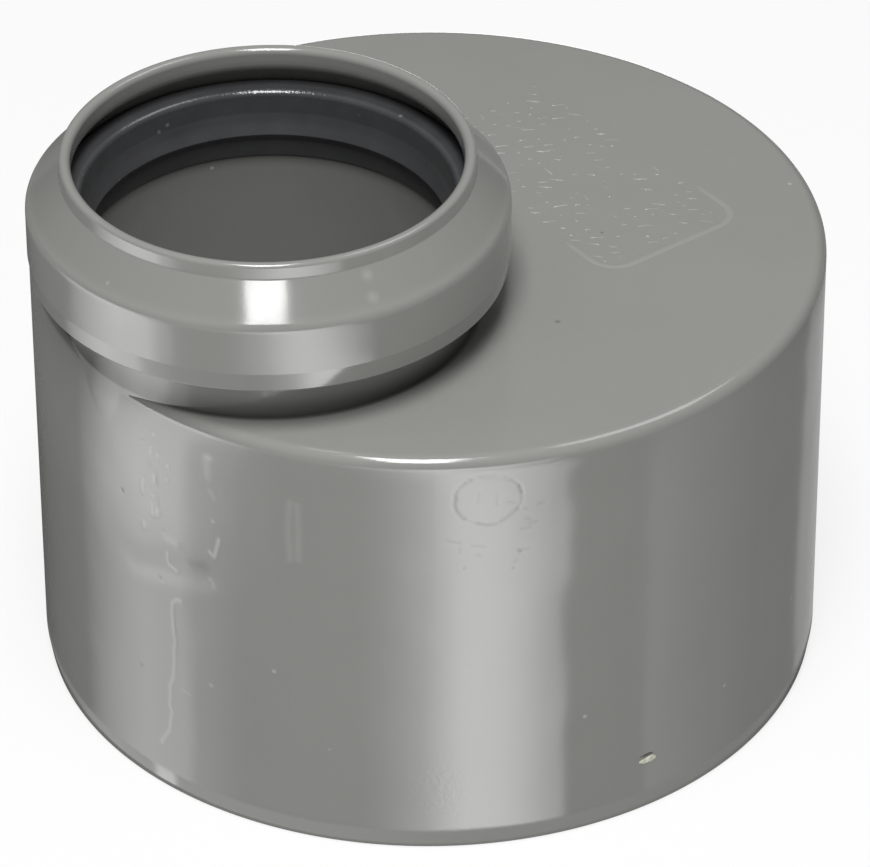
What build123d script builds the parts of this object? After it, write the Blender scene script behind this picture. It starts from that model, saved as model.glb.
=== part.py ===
from build123d import *
import os

# An eccentric drainage reducer in grey moulded plastic. Its wide lower end is a plain spigot that
# goes into a large pipe's socket. A flat end plate closes the top of the spigot, and a small socket
# with a bead for its rubber ring stands on the plate, off centre, so that its neck runs out into the
# spigot's wall along one side. The body is one moulding, and the ring is the only loose piece.
#
# Lengths are millimetres. The origin is the centre of the spigot's lower end, +Z runs up along
# both axes, and the small socket lies towards -X.

# Spigot: the wide end
spigot_r = 55.0
spigot_wall = 3.2
spigot_height = 64.6  # from the open lower end to the top of the end plate
end_plate = 3.2
rim_round = 1.7  # outer edge between the wall and the plate
corner_chamfer = 1.0  # inner corner between the wall and the plate
lead_in = 0.45  # the lower end draws in by this much
lead_up = 2.8  # over this height
end_round = 0.5  # lower edges of the wall

# Small socket: the pipe that goes into it, and the bore that guides the pipe
pipe_r = 25.0
pipe_clearance = 0.25
socket_wall = 3.0
insert_depth = 45.0  # from the mouth down to the stop
stop_width = 2.4  # the ledge that the pipe's end meets
stop_thick = 2.5
barrel_draft = 0.6  # the hanging barrel is this much slimmer at its lower end
neck_proud = 0.12  # the neck stands this far out of the spigot's wall before it runs out

# Small socket: outer steps, from the plate up to the mouth
neck_height = 5.0
bead_shoulder = 2.0  # sloped underside of the bead
bead_bevel_up = 2.8
bead_bevel_in = 0.4
bead_band = 7.0  # upright face of the bead
flare_height = 4.85  # from the bead up to the lip
lip_height = 2.05
lip_foot = 0.2  # the lip is this much wider at its foot
lip_wall = 1.55
mouth_clearance = 1.1  # how much wider the mouth is than the bore

# Groove inside the bead, for the rubber ring
groove_depth = 4.4
bead_wall = 3.05
groove_drop = 0.6  # the groove's upper corner lies this far below the bead's
groove_roof = 4.6  # rise of the groove's sloped roof, which runs along inside the flare
groove_height = 5.2
groove_floor = 3.4  # fall of the groove's sloped floor

# Rubber ring, shown with its lips pressed back to the pipe's size
ring_gap = 0.05  # between the ring and its groove
lip_clearance = 0.05  # between the ring's lips and the pipe
ring_waist = 0.35  # the face between the lips is hollow by this much
ring_top_drop = 3.1  # the ring's top lies below the mouth's lower edge
ring_lip_rise = 2.6  # the lower lip stands this far above the groove's foot
ring_crown = 1.2  # height of the rounded upper lip

# Small roundings of the socket and the ring
lip_outer_round = 0.6
lip_inner_round = 0.9
lip_crease_round = 0.4
roof_round = 2.0
neck_crease_round = 0.9
bead_round = 2.0
fine_round = 0.25
groove_round = 0.7
ring_round = 0.35

# Worked out from the sizes above: radii about each axis
bore_r = pipe_r + pipe_clearance
neck_r = bore_r + socket_wall
mouth_r = bore_r + mouth_clearance
lip_r = mouth_r + lip_wall
groove_r = bore_r + groove_depth
bead_r = groove_r + bead_wall
stop_r = bore_r - stop_width
socket_x = neck_r - spigot_r - neck_proud

# Worked out from the sizes above: heights
bead_foot_z = spigot_height + neck_height + bead_shoulder
band_z = bead_foot_z + bead_bevel_up
bead_top_z = band_z + bead_band
crease_z = bead_top_z + flare_height
mouth_z = crease_z + lip_height
stop_z = mouth_z - insert_depth
barrel_end_z = stop_z - stop_thick
roof_foot_z = bead_top_z - groove_drop
roof_top_z = roof_foot_z + groove_roof
floor_top_z = roof_foot_z - groove_height
floor_foot_z = floor_top_z - groove_floor


def turned(corners, axis_x):
    # A solid of revolution about an upright axis, from (radius, height, rounding) corners
    points = [(axis_x + radius, 0, height) for radius, height, rounding in corners]
    outline = FilletPolyline(*points, radius=[rounding for _, _, rounding in corners], close=True)
    return revolve(make_face(outline), Axis((axis_x, 0, 0), (0, 0, 1)), 360)


def between(low, high, radius):
    # Height at a radius on the straight line through two (radius, height) points
    return low[1] + (high[1] - low[1]) * (radius - low[0]) / (high[0] - low[0])


def spigot_shell():
    # The wide tube and its end plate, in one wall
    inner_r = spigot_r - spigot_wall
    under_plate = spigot_height - end_plate
    return turned(
        [
            (inner_r, 0, end_round),
            (spigot_r - lead_in, 0, end_round),
            (spigot_r, lead_up, 0),
            (spigot_r, spigot_height, rim_round),
            (0, spigot_height, 0),
            (0, under_plate, 0),
            (inner_r - corner_chamfer, under_plate, 0),
            (inner_r, under_plate - corner_chamfer, 0),
        ],
        0,
    )


def socket_ring():
    # The small socket's whole wall, from the barrel inside the spigot up to the lip
    return turned(
        [
            (stop_r, barrel_end_z, 0),
            (neck_r - barrel_draft, barrel_end_z, fine_round),
            (neck_r, spigot_height - end_plate, 0),
            (neck_r, spigot_height + neck_height, neck_crease_round),
            (bead_r - bead_bevel_in, bead_foot_z, fine_round),
            (bead_r, band_z, fine_round),
            (bead_r, bead_top_z, bead_round),
            (lip_r + lip_foot, crease_z, lip_crease_round),
            (lip_r, mouth_z, lip_outer_round),
            (mouth_r, mouth_z, lip_inner_round),
            (mouth_r, roof_top_z, roof_round),
            (groove_r, roof_foot_z, groove_round),
            (groove_r, floor_top_z, groove_round),
            (bore_r, floor_foot_z, fine_round),
            (bore_r, stop_z, 0),
            (stop_r, stop_z, 0),
        ],
        socket_x,
    )


def reducer_body():
    # The spigot is opened as far as the middle of the socket's wall, which then fills the rest
    opening_r = bore_r + socket_wall / 2
    opening_height = spigot_height + rim_round - barrel_end_z
    opening = Pos(socket_x, 0, barrel_end_z) * Cylinder(
        opening_r, opening_height, align=(Align.CENTER, Align.CENTER, Align.MIN)
    )
    return spigot_shell() - opening + socket_ring()


def seal_ring():
    # The rubber ring fills the groove's outer part, and its two lips face the pipe
    outer_r = groove_r - ring_gap
    inner_r = pipe_r + lip_clearance
    roof = ((mouth_r, roof_top_z - ring_gap), (groove_r, roof_foot_z - ring_gap))
    floor = ((bore_r, floor_foot_z + ring_gap), (groove_r, floor_top_z + ring_gap))
    top_z = roof_top_z - ring_top_drop
    lower_lip_z = floor_foot_z + ring_lip_rise
    roof_r = mouth_r + (roof[0][1] - top_z) * (groove_r - mouth_r) / groove_roof
    floor_r = bore_r + (lower_lip_z - floor[0][1]) * groove_depth / groove_floor
    return turned(
        [
            (inner_r, lower_lip_z, ring_round),
            (floor_r, lower_lip_z, 0),
            (outer_r, between(*floor, outer_r), groove_round),
            (outer_r, between(*roof, outer_r), groove_round),
            (roof_r, top_z, ring_round),
            (inner_r + ring_crown / 2, top_z, ring_round),
            (inner_r, top_z - ring_crown, ring_round),
            (inner_r + ring_waist, (top_z + lower_lip_z) / 2, ring_round),
        ],
        socket_x,
    )


os.makedirs("parts", exist_ok=True)
for node, shape in {"reducer_body": reducer_body(), "seal_ring": seal_ring()}.items():
    shape.label = node
    export_step(shape, f"parts/{node}.step")
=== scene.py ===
import math
import random

import bpy
from mathutils import Matrix, Vector, noise


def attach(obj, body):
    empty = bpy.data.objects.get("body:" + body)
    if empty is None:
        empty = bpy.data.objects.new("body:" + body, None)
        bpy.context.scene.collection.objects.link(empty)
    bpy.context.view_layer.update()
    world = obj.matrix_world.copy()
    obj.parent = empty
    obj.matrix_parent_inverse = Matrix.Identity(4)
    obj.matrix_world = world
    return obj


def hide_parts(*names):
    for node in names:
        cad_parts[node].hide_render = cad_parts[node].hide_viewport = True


# An eccentric drainage reducer in grey moulded plastic. Metres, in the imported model's own frame:
# the spigot stands on z = 0 with its axis on the origin, and the small socket lies towards -X.
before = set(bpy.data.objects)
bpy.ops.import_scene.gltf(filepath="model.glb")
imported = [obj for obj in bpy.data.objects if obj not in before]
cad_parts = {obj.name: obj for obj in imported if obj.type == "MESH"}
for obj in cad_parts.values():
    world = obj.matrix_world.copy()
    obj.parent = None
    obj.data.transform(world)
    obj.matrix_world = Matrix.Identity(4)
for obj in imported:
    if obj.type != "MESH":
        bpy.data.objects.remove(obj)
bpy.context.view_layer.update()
mm = 0.001
print("frame loaded")


# Shader maths: a Wire is one output socket, and Python operators on it add Math nodes
class Wire:
    def __init__(self, tree, socket=None):
        self.tree = tree
        self.socket = socket

    def node(self, kind, settings=None, inputs=None, output=0):
        made = self.tree.nodes.new(kind)
        for name, value in (settings or {}).items():
            if name == "stops":
                while len(made.color_ramp.elements) < len(value):
                    made.color_ramp.elements.new(0.5)
                for element, (position, level) in zip(made.color_ramp.elements, value):
                    element.position = position
                    element.color = (level, level, level, 1)
            else:
                setattr(made, name, value)
        for name, value in (inputs or {}).items():
            if isinstance(value, Wire):
                self.tree.links.new(value.socket, made.inputs[name])
            else:
                made.inputs[name].default_value = value
        return Wire(self.tree, made.outputs[output])

    def maths(self, operation, first, second):
        return self.node("ShaderNodeMath", {"operation": operation}, {0: first, 1: second})

    def __add__(self, other):
        return self.maths("ADD", self, other)

    def __radd__(self, other):
        return self.maths("ADD", other, self)

    def __sub__(self, other):
        return self.maths("SUBTRACT", self, other)

    def __rsub__(self, other):
        return self.maths("SUBTRACT", other, self)

    def __mul__(self, other):
        return self.maths("MULTIPLY", self, other)

    def __truediv__(self, other):
        return self.maths("DIVIDE", self, other)

    def __pow__(self, other):
        return self.maths("POWER", self, other)

    def above(self, low, high):  # 0 below low, 1 above high
        return self.node("ShaderNodeMapRange", {"interpolation_type": "SMOOTHSTEP"},
                         {0: self, 1: low, 2: high, 3: 0.0, 4: 1.0})

    def clamped(self):
        return self.node("ShaderNodeClamp", None, {"Value": self})

    def place(self):
        return self.node("ShaderNodeTexCoord", None, None, "Object")

    def parts(self):  # of a vector: x, y and z
        return [self.node("ShaderNodeSeparateXYZ", None, {0: self}, axis) for axis in range(3)]

    def clouds(self, place, scale, detail):
        inputs = {"Vector": place, "Scale": scale, "Detail": detail}
        return self.node("ShaderNodeTexNoise", None, inputs, "Fac")

    def mixed(self, share, first, second, blend="MIX"):  # two colours
        return self.node("ShaderNodeMix", {"data_type": "RGBA", "blend_type": blend},
                         {0: share, 6: first, 7: second}, 2)

    def into(self, target, name):
        self.tree.links.new(self.socket, target.inputs[name])


def newMaterial(name):
    material = bpy.data.materials.new(name)
    material.use_nodes = True
    tree = material.node_tree
    return material, Wire(tree), tree.nodes["Principled BSDF"]


# Camera: the photograph's viewpoint, fitted to the outlines of the spigot and the socket
print("camera")
view = {
    "turn": -37.5,  # the side it stands on, degrees
    "height": 34.75,  # degrees above the horizon
    "roll": -0.27,  # degrees
    "distance": 865.06 * mm,
    "aim": (0.88 * mm, 30.98 * mm),  # sideways and up from the origin
    "focal": 6131.83,  # in pixels of a frame 870 wide
    "frameWidth": 870,
    "sensor": 36.0,
    "clip": (0.01, 20),
}
cameraTurn = math.radians(view["turn"])
sideways = Vector((math.cos(cameraTurn), math.sin(cameraTurn), 0))  # to the camera's right
towards = Vector((math.sin(cameraTurn), -math.cos(cameraTurn), 0))  # level, towards the camera
upwards = Vector((0, 0, 1))


def standing(place, across, upright, backward):  # a camera or lamp at a place, by its own axes
    return Matrix.Translation(place) @ Matrix((across, upright, backward)).transposed().to_4x4()


def placeCamera():
    height, roll = math.radians(view["height"]), math.radians(view["roll"])
    forward = -towards * math.cos(height) - upwards * math.sin(height)
    up = sideways.cross(forward)
    across = sideways * math.cos(roll) + up * math.sin(roll)
    upright = up * math.cos(roll) - sideways * math.sin(roll)
    target = sideways * view["aim"][0] + upwards * view["aim"][1]
    data = bpy.data.cameras.new("photoCamera")
    data.sensor_width = view["sensor"]
    data.lens = view["focal"] * view["sensor"] / view["frameWidth"]
    data.clip_start, data.clip_end = view["clip"]
    camera = bpy.data.objects.new("photoCamera", data)
    camera.matrix_world = standing(target - forward * view["distance"], across, upright, -forward)
    bpy.context.scene.collection.objects.link(camera)
    bpy.context.scene.camera = camera


placeCamera()


# Modelling helpers
def selectNothing():
    if bpy.context.object and bpy.context.object.mode == "EDIT":
        bpy.ops.object.mode_set(mode="OBJECT")
    bpy.ops.object.select_all(action="DESELECT")


def selectOnly(piece):
    selectNothing()
    piece.select_set(True)
    bpy.context.view_layer.objects.active = piece


def pickFaces(piece, wanted):  # leaves edit mode on, with the wanted faces selected
    selectOnly(piece)
    bpy.ops.object.mode_set(mode="EDIT")
    bpy.ops.mesh.select_mode(type="FACE")
    bpy.ops.mesh.select_all(action="DESELECT")
    bpy.ops.object.mode_set(mode="OBJECT")
    for face in piece.data.polygons:
        face.select = bool(wanted(face))
    bpy.ops.object.mode_set(mode="EDIT")


meshing = {
    "arcStep": 13, "smoothAngle": 30, "barSmoothAngle": 50, "chipSmoothAngle": 40,  # degrees
    "merge": 0.002 * mm,
}


def rounded(corners, closed=True):  # (radius, height, rounding) corners in mm, arcs in short steps
    outline = []
    for index, (radius, height, rounding) in enumerate(corners):
        here = Vector((radius, height))
        if rounding == 0 or (not closed and index in (0, len(corners) - 1)):
            outline.append(here)
            continue
        before = (Vector(corners[index - 1][:2]) - here).normalized()
        after = (Vector(corners[(index + 1) % len(corners)][:2]) - here).normalized()
        half = before.angle(after) / 2
        centre = here + (before + after).normalized() * (rounding / math.sin(half))
        first = here + before * (rounding / math.tan(half)) - centre
        last = here + after * (rounding / math.tan(half)) - centre
        sweep = math.pi - 2 * half
        steps = max(2, math.ceil(math.degrees(sweep) / meshing["arcStep"]))
        for step in range(steps + 1):
            share = step / steps
            outline.append(centre + (first * math.sin((1 - share) * sweep)
                                     + last * math.sin(share * sweep)) / math.sin(sweep))
    return outline


def spun(name, corners, axisX, steps, closed=True):  # an outline, extruded point by point, then spun
    outline = [Vector(((axisX + radius) * mm, 0, height * mm))
               for radius, height in rounded(corners, closed)]
    if closed:
        outline.append(outline[0])
    selectNothing()
    bpy.ops.mesh.primitive_plane_add(size=mm)
    piece = bpy.context.object
    piece.name = piece.data.name = name
    bpy.ops.object.mode_set(mode="EDIT")
    bpy.ops.mesh.select_mode(type="VERT")
    bpy.ops.mesh.select_all(action="SELECT")
    bpy.ops.mesh.merge(type="CENTER")
    bpy.ops.transform.translate(value=outline[0])
    for here, ahead in zip(outline, outline[1:]):
        bpy.ops.mesh.extrude_vertices_move(TRANSFORM_OT_translate={"value": ahead - here})
    bpy.ops.mesh.select_all(action="SELECT")
    bpy.ops.mesh.spin(steps=steps, angle=2 * math.pi, center=(axisX * mm, 0, 0), axis=(0, 0, 1))
    bpy.ops.mesh.select_all(action="SELECT")
    bpy.ops.mesh.remove_doubles(threshold=meshing["merge"])
    bpy.ops.mesh.normals_make_consistent(inside=False)
    bpy.ops.object.mode_set(mode="OBJECT")
    return piece


def combine(piece, other, operation):
    selectOnly(piece)
    change = piece.modifiers.new("join", "BOOLEAN")
    change.operation = operation
    change.solver = "EXACT"
    change.object = other
    bpy.ops.object.modifier_apply(modifier=change.name)
    bpy.data.objects.remove(other)


def finishSurface(piece, angle=meshing["smoothAngle"]):
    selectOnly(piece)
    bpy.ops.object.shade_smooth_by_angle(angle=math.radians(angle))
    weighted = piece.modifiers.new("weighted", "WEIGHTED_NORMAL")
    weighted.keep_sharp = True
    bpy.ops.object.modifier_apply(modifier=weighted.name)


def setMark(piece, shades):  # how pale or dark the grey plastic is at each vertex, for its marks and for painted shade and painted highlights
    marks = piece.data.attributes.new("mark", "FLOAT", "POINT")
    marks.data.foreach_set("value", shades)


# Reducer body: the wide spigot with its end plate, and the small socket, in one moulding
print("reducer body")
body = {
    "spigotRadius": 55.0, "spigotWall": 3.2, "plateTop": 64.6, "plateThick": 3.2,
    "rimRound": 1.7, "cornerChamfer": 1.0, "leadIn": 0.45, "leadUp": 2.8, "endRound": 0.5,
    "wallRows": (4, 62),  # heights of the wall's cross rows, 1 mm apart
    "socketX": -26.87, "boreRadius": 25.25, "neckRadius": 28.25, "barrelEnd": 40.8, "openingDepth": 40,
    "wallColumns": 360, "socketColumns": 288,
}


def spigotCorners():
    outer, inner = body["spigotRadius"], body["spigotRadius"] - body["spigotWall"]
    top, under = body["plateTop"], body["plateTop"] - body["plateThick"]
    chamfer = body["cornerChamfer"]
    return (
        [(0, under, 0), (inner - chamfer, under, 0), (inner, under - chamfer, 0),
         (inner, 0, body["endRound"]), (outer - body["leadIn"], 0, body["endRound"]),
         (outer, body["leadUp"], 0)]
        + [(outer, height, 0) for height in range(*body["wallRows"])]
        + [(outer, top, body["rimRound"]), (0, top, 0)]
    )


socketCorners = [  # small socket, from the barrel's lower end round to the stop
    (22.85, 40.8, 0), (27.65, 40.8, 0.25), (28.25, 61.4, 0), (28.25, 69.6, 0.9),  # barrel and neck
    (32.3, 71.6, 0.3), (32.68, 74.4, 0.25), (32.68, 81.4, 2.0),  # bead
    (28.1, 86.25, 0.4), (27.9, 88.3, 0.6), (26.35, 88.3, 0.9),  # flare and lip
    (26.35, 85.4, 2.0), (29.65, 80.8, 0.7), (29.65, 75.6, 0.7), (25.25, 72.2, 0.25),  # groove
    (25.25, 43.3, 0), (22.85, 43.3, 0),  # bore and stop
]


# Flaws of the wall, as lines of (angle, height) points: angle in degrees round the spigot from the
# camera's left, height in mm. Each group has the lines' half width and how far they stand out, in mm,
# and how pale they are.
flaws = {
    "weldSpecks": (0.26, 0.06, 1.0, [
        [(48.4, 59.7)], [(46.1, 57.4)], [(47.8, 57.3), (47.6, 56.2)], [(49.1, 56.6)], [(50.9, 55.5)],
        [(50.6, 53.1)], [(48.2, 52.7), (48.2, 51.7)], [(46.0, 51.4), (45.7, 50.1), (45.8, 49.0)],
        [(47.8, 49.3)], [(47.6, 47.9), (47.6, 46.1)], [(48.7, 47.4), (48.5, 46.3)],
        [(45.8, 43.9), (45.8, 43.2)], [(59.5, 46.8), (59.1, 45.1), (58.6, 43.5), (57.9, 44.2)],
        [(58.6, 49.4)], [(57.4, 21.7)]]),
    "weldDips": (0.26, -0.03, -0.3, [
        [(47.5, 54.4)], [(49.0, 53.7)], [(49.1, 53.1), (49.0, 51.6)], [(49.0, 49.4), (49.0, 48.2)],
        [(49.5, 46.8)], [(49.6, 44.3)]]),
    "pits": (0.25, -0.1, -0.9, [[(48.7, 36.0)], [(44.1, 19.2)], [(41.3, 47.0)]]),
    "sinkHollow": (2.0, -0.13, 0.0, [[(44.0, 36.6), (48.7, 38.1), (53.8, 39.1), (57.2, 39.8)]]),
    "sinkSpot": (0.8, -0.02, -0.35, [[(54.9, 40.9), (56.7, 41.3)]]),
    # painted shade and painted highlight: the sink hollow's shading on its slopes, in colour only
    "sinkPaintedShade": (1.1, 0.0, -0.1, [[(45.0, 38.6), (48.8, 40.2), (53.5, 41.2), (56.0, 41.4)]]),
    "sinkPaintedHighlight": (1.2, 0.0, 0.16, [[(46.0, 35.3), (48.6, 36.0), (54.2, 37.0), (57.0, 38.0)]]),
    "sinkHook": (0.25, 0.06, 0.9, [
        [(50.2, 40.8), (50.2, 39.8), (50.4, 39.2), (51.0, 38.8), (51.9, 38.5)]]),
    "sinkEnd": (0.3, 0.03, 0.4, [[(57.7, 39.5), (58.2, 39.0), (58.4, 38.2)]]),
    "seam": (0.28, 0.05, 0.75, [
        [(52.6, 33.8), (51.7, 33.7), (50.9, 32.9), (50.8, 31.2), (50.9, 28.7), (51.2, 26.7),
         (50.9, 24.6), (50.9, 22.5), (50.6, 20.2), (49.9, 18.5), (49.9, 17.2), (49.7, 15.1),
         (50.1, 14.1), (49.7, 12.1), (49.5, 10.7), (48.8, 9.5), (47.8, 7.8)]]),
    "streak": (0.8, 0.05, 0.25, [[(58.2, 59.0), (58.3, 56.6)], [(52.0, 42.9), (50.5, 42.9)]]),
    "streakEnd": (0.4, 0.02, 0.25, [[(58.3, 54.2), (58.9, 53.2)]]),
    "scratch": (0.15, 0.0, 0.4, [[(52.0, 18.9), (53.7, 18.4)]]),
    "ringMark": (0.2, -0.05, -0.75, [
        [(93.9, 59.9), (93.5, 59.1), (93.6, 58.4), (93.4, 57.6), (93.7, 56.6), (94.3, 55.8),
         (94.9, 55.3)],
        [(94.2, 60.3), (94.9, 60.9), (95.8, 61.5)], [(96.8, 54.5), (98.2, 54.1), (99.4, 54.2)],
        [(99.9, 54.4), (101.2, 55.2), (102.4, 56.2)], [(102.6, 59.9), (102.9, 58.9)]]),
    "ringRest": (0.16, -0.03, -0.3, [
        [(95.8, 61.5), (97.0, 61.9), (98.5, 62.0), (100.4, 61.6), (101.8, 60.8), (102.6, 59.9)],
        [(102.9, 58.9), (103.0, 57.5), (102.4, 56.2)], [(94.9, 55.3), (96.8, 54.5)],
        [(97.0, 59.3), (96.8, 57.7)], [(99.6, 58.9), (99.5, 57.2)], [(100.9, 57.6), (102.0, 57.3)]]),
    "scuffs": (0.2, -0.02, -0.45, [
        [(102.9, 52.8), (104.3, 52.9)], [(104.0, 53.5), (105.2, 53.6)], [(105.3, 56.4), (106.1, 56.6)],
        [(103.6, 54.4), (104.3, 54.1)], [(103.3, 56.1), (103.7, 55.9)], [(102.6, 49.3), (103.1, 49.4)],
        [(103.1, 49.4), (104.1, 49.5)], [(92.4, 51.9), (94.2, 51.4)], [(95.9, 50.9), (97.8, 50.6)],
        [(94.2, 50.6), (94.2, 49.8)], [(101.9, 47.5), (102.3, 47.9)], [(96.6, 49.3), (97.2, 49.1)]]),
    "wallDots": (0.2, -0.05, -0.9, [[(101.8, 46.6)], [(94.8, 47.3)], [(102.7, 49.3)]]),
    "oval": (0.45, 0.03, 0.3, [
        [(70.5, 56.0), (70.2, 51.5), (70.4, 46.6)], [(71.6, 55.8), (71.7, 51.0), (71.6, 46.8)]]),
}
relief = {
    # where the wall's mesh is finer: lowest and highest angle, lowest and highest height
    "patches": [(40.0, 61.0, 6.0, 61.5), (68.5, 73.5, 44.0, 58.5), (91.0, 107.5, 44.5, 62.7)],
    "cuts": 3, "margin": 1,  # degrees round a patch
    "reach": 2.6,  # how far a line is felt, in half widths
    "skin": 0.03,  # how near the wall's radius a vertex of its outside lies, mm
}


def wallSpot(place):
    return math.degrees(math.atan2(place.dot(towards), -place.dot(sideways))), place.z / mm


def strokeDistance(spot, line, scale):  # in mm, from an (angle, height) spot to the line
    here = Vector((spot[0] * scale, spot[1]))
    points = [Vector((angle * scale, height)) for angle, height in line]
    if len(points) == 1:
        return (here - points[0]).length
    nearest = math.inf
    for start, end in zip(points, points[1:]):
        share = max(0.0, min(1.0, (here - start).dot(end - start) / (end - start).length_squared))
        nearest = min(nearest, (here - start.lerp(end, share)).length)
    return nearest


def makeFlaws(piece):
    radius = body["spigotRadius"] * mm
    scale = math.radians(1) * body["spigotRadius"]

    def inPatch(face):
        angle, height = wallSpot(face.center)
        upright = face.center.xy.length > radius * 0.998 and abs(face.normal.z) < 0.1
        return upright and any(low < angle < high and foot < height < top
                               for low, high, foot, top in relief["patches"])

    pickFaces(piece, inPatch)
    bpy.ops.mesh.subdivide(number_cuts=relief["cuts"])
    bpy.ops.object.mode_set(mode="OBJECT")
    lines = []
    for width, height, shade, group in flaws.values():
        reach = width * relief["reach"]
        for line in group:
            angles, levels = zip(*line)
            lines.append((width, height, shade, line,
                          min(angles) - reach / scale, max(angles) + reach / scale,
                          min(levels) - reach, max(levels) + reach))
    shades = [0.0] * len(piece.data.vertices)
    for vertex in piece.data.vertices:
        if abs(vertex.co.xy.length - radius) >= relief["skin"] * mm:
            continue
        spot = wallSpot(vertex.co)
        margin = relief["margin"]
        if not any(low - margin < spot[0] < high + margin for low, high, _, _ in relief["patches"]):
            continue
        lift = 0.0
        for width, height, shade, line, left, right, foot, top in lines:
            if left < spot[0] < right and foot < spot[1] < top:
                weight = math.exp(-(strokeDistance(spot, line, scale) / width) ** 2)
                lift += height * weight
                shades[vertex.index] += shade * weight
        flat = Vector((vertex.co.x, vertex.co.y, 0)).normalized()
        vertex.co = flat * (radius + lift * mm) + Vector((0, 0, vertex.co.z))
    setMark(piece, shades)


def makeBody():
    piece = spun("reducerShell", spigotCorners(), 0, body["wallColumns"], closed=False)
    halfway = body["plateTop"] * mm / 2
    for facing in (1, -1):  # each side of the plate becomes one flat face
        pickFaces(piece, lambda face: face.normal.z * facing > 0.999 and face.center.z > halfway)
        bpy.ops.mesh.dissolve_faces()
        bpy.ops.object.mode_set(mode="OBJECT")
    selectNothing()
    depth = body["openingDepth"] * mm
    middle = (body["boreRadius"] + body["neckRadius"]) / 2  # of the socket's wall, which fills the rest
    bpy.ops.mesh.primitive_cylinder_add(
        vertices=body["socketColumns"], radius=middle * mm, depth=depth,
        location=(body["socketX"] * mm, 0, body["barrelEnd"] * mm + depth / 2))
    opening = bpy.context.object
    combine(piece, opening, "DIFFERENCE")
    socket = spun("socketRing", socketCorners, body["socketX"], body["socketColumns"])
    combine(piece, socket, "UNION")
    makeFlaws(piece)
    finishSurface(piece)
    return piece


shell = makeBody()
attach(shell, "root")
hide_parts("reducer_body")
print("body faces", len(shell.data.polygons))


# Small marks away from the finer patches, as (x, y, z, reach) in mm. The first three pale ones are
# painted highlights: two on the flare, and one on the neck's front under the bead
smudges = {
    "pale": [(-32.4, -30.5, 83.1, 1.3), (-31.8, -28.5, 85.3, 1.2), (-44.2, -22.3, 68.4, 0.8),
             (26.7, -48.1, 18.1, 0.6), (29.7, -46.3, 15.5, 0.5)],
    "dark": [(35.7, -41.85, 17.1, 1.0), (0.44, -28.2, 64.6, 0.6)],
    "rough": [(-31.2, -45.3, 10.0, 9.0)],
}
plastic = {
    "grey": (0.237, 0.2385, 0.225, 1), "pale": (0.52, 0.52, 0.5, 1), "dark": (0.07, 0.07, 0.065, 1),
    "clouds": 38.0, "flow": 420.0, "flowLength": 0.06, "mottle": 1300.0, "waves": 75.0, "cells": 210.0,
    # where the tone changes, from and to: metres from the socket's axis, or metres up
    "neckIn": (0.0270, 0.0278), "neckOut": (0.0284, 0.0292),
    "neckFoot": (0.0640, 0.0646), "neckFade": (0.0642, 0.0688),
    "boreSide": (0.0256, 0.0258), "boreTop": (0.0722, 0.0724), "underRingShadow": (0.0698, 0.0728),
    "flareFoot": (0.0815, 0.083), "flareTop": (0.0862, 0.0866),
    "roughness": 0.09, "bump": 0.12, "bumpDepth": 0.00006,
}


def aroundSocket(place):  # distance from the socket's axis, and height
    across, beside, height = place.parts()
    offset = across - body["socketX"] * mm
    return (offset * offset + beside * beside) ** 0.5, height


def cells(wire, place, scale):  # distance from a cell's middle, and the cell's random number
    inputs = {"Vector": place, "Scale": scale}
    colour = wire.node("ShaderNodeTexVoronoi", None, inputs, "Color")
    return (wire.node("ShaderNodeTexVoronoi", None, inputs, "Distance"),
            wire.node("ShaderNodeSeparateColor", None, {0: colour}))
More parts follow.
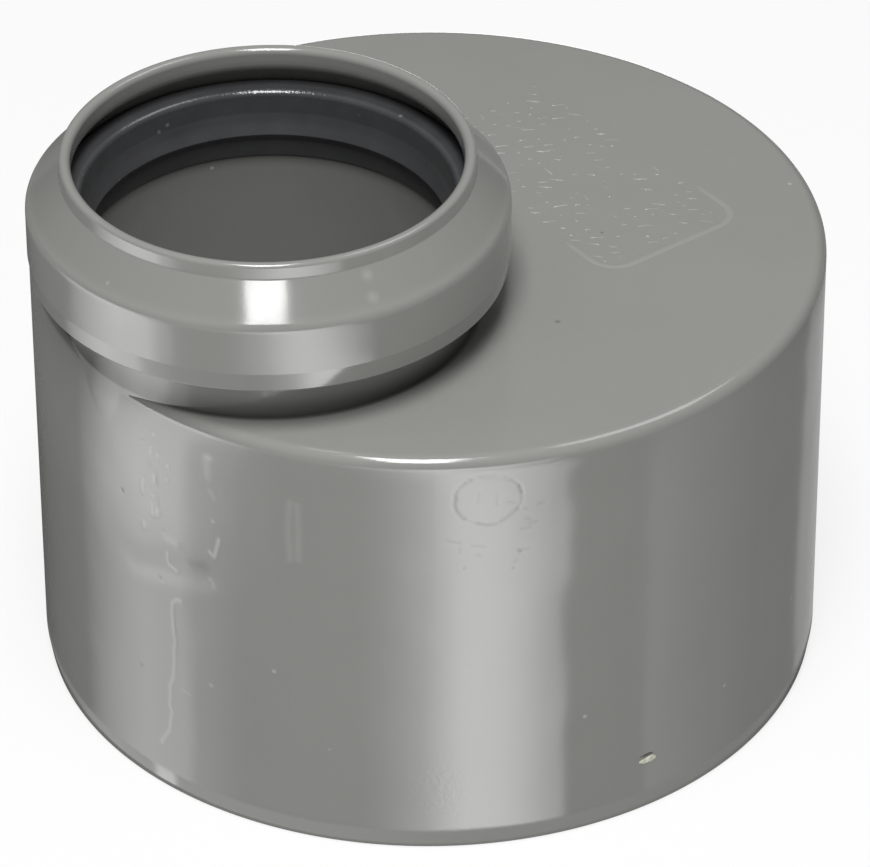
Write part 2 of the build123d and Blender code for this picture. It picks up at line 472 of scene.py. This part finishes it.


# Grey plastic: faint clouds, upright flow marks, fine specks, and the flaws' shade from the mesh, with
# painted shade and painted highlights among them
def makeGreyPlastic():
    material, wire, shader = newMaterial("greyPlastic")
    place = wire.place()
    fromSocket, height = aroundSocket(place)
    clouds = wire.clouds(place, plastic["clouds"], 3.0)
    stretch = (1, 1, plastic["flowLength"])
    drawn = wire.node("ShaderNodeMapping", None, {"Vector": place, "Scale": stretch})
    flow = wire.clouds(drawn, plastic["flow"], 4.0)
    mottle = wire.clouds(place, plastic["mottle"], 2.0)
    waves = wire.clouds(place, plastic["waves"], 1.0)
    distance, chance = cells(wire, place, plastic["cells"])
    specks = chance.above(0.93, 0.96) * (1 - distance.above(0.04, 0.1))
    pits = (1 - chance.above(0.02, 0.03)) * (1 - distance.above(0.03, 0.07))

    def near(group):  # 1 in the middle of each smudge
        total = 0
        for x, y, z, reach in smudges[group]:
            away = wire.node("ShaderNodeVectorMath", {"operation": "DISTANCE"},
                             {0: place, 1: (x * mm, y * mm, z * mm)}, "Value")
            total = total + (1 - away.above(0.0, reach * mm))
        return total

    fromMesh = wire.node("ShaderNodeAttribute", {"attribute_name": "mark"}, None, "Fac")
    # near("pale") holds painted highlights as well as pale marks
    mark = fromMesh + near("pale") * 0.4 - near("dark")
    pale, dark = mark.clamped(), (mark * -1).clamped()
    # painted shade: the neck darker towards its foot on the plate, under the bead's overhang
    neckFootShade = (height.above(*plastic["neckFoot"]) * (1 - height.above(*plastic["neckFade"]))
                 * fromSocket.above(*plastic["neckIn"]) * (1 - fromSocket.above(*plastic["neckOut"])))
    # painted shade: inBore makes the whole bore a fifth darker in level below
    inBore = (1 - fromSocket.above(*plastic["boreSide"])) * (1 - height.above(*plastic["boreTop"]))
    # painted shadow: the bore darker just below the rubber ring's lower lip
    underRingShadow = inBore * height.above(*plastic["underRingShadow"])
    # painted shade: the flare's outside a tenth darker in level below
    flare = height.above(*plastic["flareFoot"]) * (1 - height.above(*plastic["flareTop"]))
    level = ((0.94 + clouds * 0.08 + flow * 0.03 + mottle * 0.03) * (1 - neckFootShade * 0.6)
             * (1 - underRingShadow * 0.64) * (1 - inBore * 0.2) * (1 - flare * 0.1))
    tone = wire.node("ShaderNodeCombineColor", None, {0: level, 1: level, 2: level})
    tint = wire.mixed(1.0, plastic["grey"], tone, "MULTIPLY")
    lit = wire.mixed(pale * 0.42 + specks * 0.35, tint, plastic["pale"])
    wire.mixed(dark * 0.6 + pits * 0.45, lit, plastic["dark"]).into(shader, "Base Color")
    rough = plastic["roughness"] + flow * 0.04 + clouds * 0.03 + pale * 0.15 + specks * 0.2
    rough.into(shader, "Roughness")
    grain = waves * 30 + flow * 0.7 + mottle * (0.5 + near("rough") * 12) + specks * 0.8 - pits * 1.5
    bump = wire.node("ShaderNodeBump", None, {
        "Strength": plastic["bump"], "Distance": plastic["bumpDepth"], "Height": grain})
    bump.into(shader, "Normal")
    return material


greyPlastic = makeGreyPlastic()
shell.data.materials.clear()
shell.data.materials.append(greyPlastic)

# Plate marking: a worn moulded panel of plain bars in a frame line that runs out, tinted pale as
# painted highlights
print("plate marking")
panel = {
    "left": 13.6, "right": 37.0, "low": -23.2, "high": 25.0, "corner": 4.0, "cornerSteps": 10,
    "lineRadius": 0.5, "lineRise": 0.06, "lineHighlight": 0.22,
    "lineKept": -19.0, "lineFade": 4, "lineSunk": 0.1,  # beyond lineKept it sinks out of sight
    "barLengths": (0.4, 0.6, 0.9, 1.4, 2.0), "barWidth": 0.42, "barDepth": 0.16, "barRound": 0.07,
    "seed": 7, "rows": 9, "edge": 2.0, "endGap": 3, "kept": 0.75, "scatter": 0.9, "gaps": (1.2, 3.0),
    # barHighlight and lineHighlight tint the raised marks pale: painted highlight
    "barRise": (0.012, 0.032), "barHighlight": (0.12, 0.55),
    "turns": (90, 90, 90, 90, 90, 90, 30), "sway": 14,  # degrees from the camera's right
}


def makePanelLine():
    selectNothing()
    wide, long = panel["right"] - panel["left"], panel["high"] - panel["low"]
    middle = Vector(((panel["left"] + panel["right"]) / 2, (panel["low"] + panel["high"]) / 2, 0))
    bpy.ops.mesh.primitive_plane_add(size=1)
    piece = bpy.context.object
    piece.name = "panelLine"
    piece.scale = (wide * mm, long * mm, 1)
    bpy.ops.object.transform_apply()
    bpy.ops.object.mode_set(mode="EDIT")
    bpy.ops.mesh.select_all(action="SELECT")
    bpy.ops.mesh.bevel(affect="VERTICES", offset=panel["corner"] * mm, segments=panel["cornerSteps"])
    bpy.ops.mesh.delete(type="ONLY_FACE")
    bpy.ops.mesh.select_all(action="SELECT")
    bpy.ops.mesh.subdivide(number_cuts=3)
    bpy.ops.object.mode_set(mode="OBJECT")
    bpy.ops.object.convert(target="CURVE")
    piece = bpy.context.object
    piece.data.bevel_depth = panel["lineRadius"] * mm
    piece.data.bevel_resolution = 2
    bpy.ops.object.convert(target="MESH")
    piece = bpy.context.object
    rise = panel["lineRise"] / panel["lineRadius"]
    for vertex in piece.data.vertices:  # flattened, and sunk out of sight except along the lower end
        place = vertex.co + middle * mm
        fade = max(0.0, min(1.0, (place.y / mm - panel["lineKept"]) / panel["lineFade"]))
        level = body["plateTop"] - panel["lineSunk"] * fade
        vertex.co = (place.x, place.y, vertex.co.z * rise + level * mm)
    setMark(piece, [panel["lineHighlight"]] * len(piece.data.vertices))
    return piece


def makeBar(length):
    selectNothing()
    bpy.ops.mesh.primitive_cube_add(size=1)
    bar = bpy.context.object
    bar.name = "plateBar"
    bar.scale = (panel["barWidth"] * mm, length * mm, panel["barDepth"] * mm)
    bpy.ops.object.transform_apply()
    bpy.ops.object.mode_set(mode="EDIT")
    bpy.ops.mesh.select_all(action="SELECT")
    bpy.ops.mesh.bevel(offset=panel["barRound"] * mm, segments=2)
    bpy.ops.object.mode_set(mode="OBJECT")
    return bar


def makePlateMarks():
    line = makePanelLine()
    chance = random.Random(panel["seed"])
    models = [makeBar(length) for length in panel["barLengths"]]
    edge, scatter, sway = panel["edge"], panel["scatter"], panel["sway"]
    step = (panel["right"] - panel["left"] - 2 * edge) / (panel["rows"] - 1)
    parts = [line]
    for row in range(panel["rows"]):
        along = panel["low"] + edge + chance.random() * 2
        while along < panel["high"] - panel["endGap"]:
            if chance.random() < panel["kept"]:
                model = chance.choice(models)
                bar = model.copy()
                bar.data = model.data.copy()
                bpy.context.scene.collection.objects.link(bar)
                across = panel["left"] + edge + row * step + chance.uniform(-scatter, scatter)
                rise = chance.uniform(*panel["barRise"])
                level = body["plateTop"] + rise - panel["barDepth"] / 2
                bar.location = Vector((across, along, level)) * mm
                turn = chance.choice(panel["turns"]) + chance.uniform(-sway, sway)
                bar.rotation_euler.z = cameraTurn + math.radians(turn)
                setMark(bar, [chance.uniform(*panel["barHighlight"])] * len(bar.data.vertices))
                parts.append(bar)
            along += chance.uniform(*panel["gaps"])
    for model in models:
        bpy.data.objects.remove(model)
    selectOnly(line)
    for part in parts:
        part.select_set(True)
    bpy.ops.object.join()
    bpy.ops.object.transform_apply()
    line.name = line.data.name = "plateMarks"
    finishSurface(line, meshing["barSmoothAngle"])
    return line


marks = makePlateMarks()
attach(marks, "root")
marks.data.materials.clear()
marks.data.materials.append(greyPlastic)

# Chip: a pale sliver pressed into the wall, with a dark sliver over it as the chip's painted shadow
print("chip")
chip = {
    "sliver": {"size": (1.5, 0.48, 0.1), "angle": 122.7, "height": 8.55, "seed": 3},
    # painted shadow: this dark sliver stands where the chip casts its shade
    "chipShadow": {"size": (1.0, 0.2, 0.05), "angle": 122.5, "height": 9.47, "seed": 8},
    "tilt": 1.0, "taper": 0.35, "lumps": (1.7, 0.35), "grains": (6, 0.12), "colourScale": 1500.0,
    "cream": ((0.5, 0.49, 0.36, 1), (0.66, 0.66, 0.6, 1)),
    "shadowGreys": ((0.06, 0.055, 0.04, 1), (0.11, 0.1, 0.085, 1)),
}


def makeSliver(name, part):
    selectNothing()
    bpy.ops.mesh.primitive_ico_sphere_add(subdivisions=4, radius=mm)
    piece = bpy.context.object
    piece.name = piece.data.name = name
    turn, tilt = math.radians(part["angle"]), math.radians(chip["tilt"])
    outward = towards * math.sin(turn) - sideways * math.cos(turn)
    along = upwards.cross(outward) * math.cos(tilt) + upwards * math.sin(tilt)
    upward = outward.cross(along)
    middle = outward * (body["spigotRadius"] * mm) + upwards * (part["height"] * mm)
    (lumpScale, lump), (grainScale, grain) = chip["lumps"], chip["grains"]
    long, wide, thick = part["size"]
    for vertex in piece.data.vertices:
        spot = vertex.co / mm
        rough = (1 + lump * noise.noise(spot * lumpScale + Vector((part["seed"], 0, 0)))
                 + grain * noise.noise(spot * grainScale))
        taper = 1 + chip["taper"] * spot.x
        vertex.co = middle + (along * spot.x * long + upward * spot.y * wide * taper
                              + outward * spot.z * thick) * rough * mm
    finishSurface(piece, meshing["chipSmoothAngle"])
    return piece


def makeChipMaterial(name, first, second):
    material, wire, shader = newMaterial(name)
    grain = wire.clouds(wire.place(), chip["colourScale"], 3.0)
    wire.mixed(grain.above(0.35, 0.65), first, second).into(shader, "Base Color")
    (0.4 + grain * 0.3).into(shader, "Roughness")
    return material


sliver = makeSliver("paleChip", chip["sliver"])
chipShadow = makeSliver("paintedChipShadow", chip["chipShadow"])
sliver.data.materials.append(makeChipMaterial("creamChip", *chip["cream"]))
chipShadow.data.materials.append(makeChipMaterial("chipShadowPaint", *chip["shadowGreys"]))
for piece in (sliver, chipShadow):
    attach(piece, "root")

# Rubber ring: its lips are shown free, a little further in than the pressed-back solid
print("rubber ring")
rubberRing = {
    "columns": 288,
    "corners": [
        (25.05, 71.9, 0.1), (25.3, 72.15, 0), (29.3, 75.75, 0.3),  # lower end and the groove's floor
        (29.55, 76.2, 0.3), (29.55, 80.6, 0.7),  # back
        (28.3, 82.25, 0.3), (25.15, 82.3, 0.95), (24.9, 79.0, 1.5),  # crown and face
        (24.1, 75.9, 0.2), (24.9, 74.6, 0.4)],  # lower lip
    "black": ((0.038, 0.039, 0.042, 1), (0.064, 0.065, 0.069, 1)),
    "dust": (0.25, 0.26, 0.28, 1), "shade": (0.008, 0.008, 0.008, 1),
    "clouds": 220.0, "grain": 2400.0, "cells": 700.0,
    # where the finish changes, from and to: metres from the socket's axis, or metres up
    "lip": (0.0768, 0.0785), "under": (0.0752, 0.0762), "crown": (0.0812, 0.0818),
    "topSide": (0.0257, 0.0261), "top": (0.0815, 0.082),
    "roughness": 0.26, "bump": 0.35, "bumpDepth": 0.00008,
}


def makeRing():
    piece = spun("sealRing", rubberRing["corners"], body["socketX"], rubberRing["columns"])
    finishSurface(piece)
    return piece


def makeBlackRubber():
    material, wire, shader = newMaterial("blackRubber")
    place = wire.place()
    fromSocket, height = aroundSocket(place)
    clouds = wire.clouds(place, rubberRing["clouds"], 4.0)
    grain = wire.clouds(place, rubberRing["grain"], 2.0)
    distance, chance = cells(wire, place, rubberRing["cells"])
    lip = 1 - height.above(*rubberRing["lip"])
    under = 1 - height.above(*rubberRing["under"])
    crown = height.above(*rubberRing["crown"])
    top = fromSocket.above(*rubberRing["topSide"]) * height.above(*rubberRing["top"])
    dust = chance.above(0.93 - lip * 0.08, 0.97) * (1 - distance.above(0.1, 0.3)) * (1 - under)
    tint = wire.mixed(clouds, *rubberRing["black"])
    dusty = wire.mixed(dust * 0.4, tint, rubberRing["dust"])
    # painted shade: the ring's top face, in the flare's shade, and its skirt under the lower lip are
    # mixed towards the shade colour
    shaded = wire.mixed((top * 0.4 + under * 0.35).clamped(), dusty, rubberRing["shade"])
    shaded.into(shader, "Base Color")
    rough = rubberRing["roughness"] + clouds * 0.12 + grain * 0.1 - crown * 0.2 + top * 0.4 + lip * 0.3
    rough.clamped().into(shader, "Roughness")
    bump = wire.node("ShaderNodeBump", None, {
        "Strength": rubberRing["bump"], "Distance": rubberRing["bumpDepth"],
        "Height": grain * (0.6 + crown * 0.8) + clouds + dust})
    bump.into(shader, "Normal")
    return material


ring = makeRing()
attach(ring, "root")
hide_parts("seal_ring")
ring.data.materials.append(makeBlackRubber())

# Floor, backdrop and light
print("studio")
studio = {
    "zenith": 0.33, "horizon": 0.05, "skyRise": 0.9,
    "floorSize": 6, "floorGrey": (0.8, 0.8, 0.8, 1), "floorRoughness": 0.9,
    "floorGlow": 1.0, "floorWhite": 0.8,
    "stripSize": (0.28, 0.7), "stripPlace": (-0.035, 0.45, 1.05), "stripGlow": 22.5,
    "overheadRightSize": (0.4, 0.4), "overheadRightPlace": (0.42, -0.15, 0.89),
    "overheadRightGlow": 4.0,
}
white = (1, 1, 1, 1)

# The light tables are what the gloss of the upright walls sees below them. Each is bright in two
# sectors, the mirror images of a light on either side of the camera. Angles are degrees of the wall's
# normal from the left, and shares along the table rise with the height on the wall that sees it.
table = {
    "front": 6.7, "back": 4.0, "frontDrop": 0.2, "backDrop": 0.5, "gap": 0.3,
    "start": 0.002, "reach": 0.6, "columns": 90, "rows": 12,
    "sectors": [
        (0, 0.01), (29, 0.02), (34.8, 0.14), (39.5, 0.25), (44, 0.35), (51.8, 0.36), (54, 0.2),
        (58.7, 0.14), (62, 0.08), (80, 0.08), (83, 0.15), (86, 0.28), (89, 0.45), (92, 0.75),
        (95, 1), (98, 1), (100.6, 0.93), (103.5, 0.8), (106.5, 0.63), (109.5, 0.45), (110.8, 0.38),
        (112, 0.03), (124, 0.03), (125, 0.1), (135, 0.04), (145, 0.02), (160.8, 0.03), (163, 0.075),
        (180, 0.07)],
    "footSectors": [  # seen by the lead-in at the wall's foot
        (0, 0.02), (24, 0.05), (36, 0.16), (44.5, 0.19), (46, 0.5), (48.5, 0.5), (50, 0.19),
        (78, 0.18), (92, 0.13), (120, 0.08), (138, 0.05), (150, 0.045), (180, 0.02)],
    "foot": (0.033, 0.05), "bead": (0.36, 0.42),  # shares that the lead-in and the bead see
    "middle": (62, 70), "edge": (100, 108), "beadFar": (100, 115),  # angles
    "beadShift": (-7, 4),  # how far the left and the right sector move at the bead, degrees
    "beadFade": 0.1, "beadFarFade": 0.5,
    # what is added to the right sector's outer edge, in degrees, and to the left sector's strength:
    # from this share to that one, this much
    "edgeStart": 1.8, "edgeSteps": [(0.28, 0.31, -0.7), (0.365, 0.383, -2.9), (0.39, 0.41, 1.8)],
    "leftSteps": [(0.27, 0.34, 0.6), (0.4, 0.46, 0.6)],
}


def makeFloor():
    selectNothing()
    bpy.ops.mesh.primitive_plane_add(size=studio["floorSize"])
    floor = bpy.context.object
    floor.name = "floor"
    floor.visible_glossy = False  # gloss sees the light table instead
    material, wire, shader = newMaterial("paleFloor")
    material.cycles.emission_sampling = "NONE"
    shader.inputs["Base Color"].default_value = studio["floorGrey"]
    shader.inputs["Roughness"].default_value = studio["floorRoughness"]
    camera = wire.node("ShaderNodeLightPath", None, None, "Is Camera Ray")
    glow = wire.node("ShaderNodeEmission", None, {"Color": white, "Strength": studio["floorGlow"]})
    surface = wire.node("ShaderNodeMixShader", None, {
        0: camera * (studio["floorWhite"] - 1) + 1, 1: Wire(wire.tree, shader.outputs[0]), 2: glow})
    surface.into(wire.tree.nodes["Material Output"], "Surface")
    floor.data.materials.append(material)


def byAngle(wire, across, stops):  # across is 0 to 1 over half a turn
    shares = [(angle / 180, level) for angle, level in stops]
    return wire.node("ShaderNodeValToRGB", {"stops": shares}, {0: across})


def makeTableLight(name, strength):
    material, wire, shader = newMaterial(name)
    material.cycles.emission_sampling = "NONE"
    wire.tree.nodes.remove(shader)
    across, along, _ = wire.node("ShaderNodeTexCoord", None, None, "UV").parts()

    def past(border):  # 0 to 1 between two angles
        low, high = table[border]
        return across.above(low / 180, high / 180)

    def added(steps):
        total = 0
        for low, high, change in table[steps]:
            total = total + along.above(low, high) * change
        return total

    atFoot = 1 - along.above(*table["foot"])
    atBead = along.above(*table["bead"])
    leftSide = 1 - past("middle")
    left, right = table["beadShift"]
    beadShift = atBead * (leftSide * (left - right) + right)
    edgeShift = (added("edgeSteps") + table["edgeStart"]) * past("edge")
    shifted = across + (beadShift + edgeShift) / 180
    farther = ((1 + leftSide * added("leftSteps") - (1 - leftSide) * atBead * table["beadFade"])
               * (1 - atBead * past("beadFar") * table["beadFarFade"]))
    level = (byAngle(wire, shifted, table["sectors"]) * farther * (1 - atFoot)
             + byAngle(wire, across, table["footSectors"]) * atFoot)
    glow = wire.node("ShaderNodeEmission", None, {"Color": white, "Strength": level * strength})
    glow.into(wire.tree.nodes["Material Output"], "Surface")
    return material


def makeLightTable(name, front, drop, material):
    selectNothing()
    bpy.ops.mesh.primitive_grid_add(
        x_subdivisions=table["columns"], y_subdivisions=table["rows"], size=1)
    piece = bpy.context.object
    piece.name = name
    for vertex in piece.data.vertices:
        angle = math.pi * (vertex.co.x + 0.5)
        share = vertex.co.y + 0.5
        reach = table["start"] * min(1, share * table["rows"]) + table["reach"] * share ** 2
        foot = front * math.sin(angle) - sideways * math.cos(angle)
        ray = -front * math.cos(2 * angle) - sideways * math.sin(2 * angle)
        start = foot * (body["spigotRadius"] + table["gap"]) * mm
        vertex.co = start + ray * reach - upwards * (drop * mm)
    piece.visible_camera = piece.visible_diffuse = piece.visible_shadow = False
    piece.visible_transmission = False
    piece.data.materials.append(material)


def makeWorld():
    world = bpy.data.worlds.new("studio")
    bpy.context.scene.world = world
    world.use_nodes = True
    wire = Wire(world.node_tree)
    background = wire.tree.nodes["Background"]
    background.inputs["Color"].default_value = white
    seen = wire.node("ShaderNodeLightPath", None, None, "Is Camera Ray")
    _, _, height = wire.node("ShaderNodeTexCoord", None, None, "Generated").parts()
    span = studio["zenith"] - studio["horizon"]
    level = height.above(0.0, studio["skyRise"]) * span + studio["horizon"]
    (level * (1 - seen) + seen).into(background, "Strength")


def addLamp(name, place, away, glossOnly=False):  # a rectangle at a place, facing back along away
    size, glow = studio[name + "Size"], studio[name + "Glow"]
    across = sideways if abs(away.z) > 0.999 else upwards.cross(away).normalized()
    data = bpy.data.lights.new(name, "AREA")
    data.shape = "RECTANGLE"
    data.size, data.size_y = size
    data.energy = glow * math.pi * size[0] * size[1]
    lamp = bpy.data.objects.new(name, data)
    lamp.matrix_world = standing(place, across, away.cross(across), away)
    lamp.visible_camera = False
    lamp.visible_diffuse = not glossOnly
    bpy.context.scene.collection.objects.link(lamp)


def fromCamera(right, front, up):  # a place: so far to the camera's right, towards it, and up
    return sideways * right + towards * front + upwards * up


makeFloor()
makeLightTable("frontTable", towards, table["frontDrop"], makeTableLight("frontLight", table["front"]))
makeLightTable("backTable", -towards, table["backDrop"], makeTableLight("backLight", table["back"]))
makeWorld()
addLamp("strip", fromCamera(*studio["stripPlace"]), upwards)
overheadRight = fromCamera(*studio["overheadRightPlace"]).normalized()
addLamp("overheadRight", overheadRight, overheadRight, glossOnly=True)

bpy.context.scene.view_settings.view_transform = "Standard"
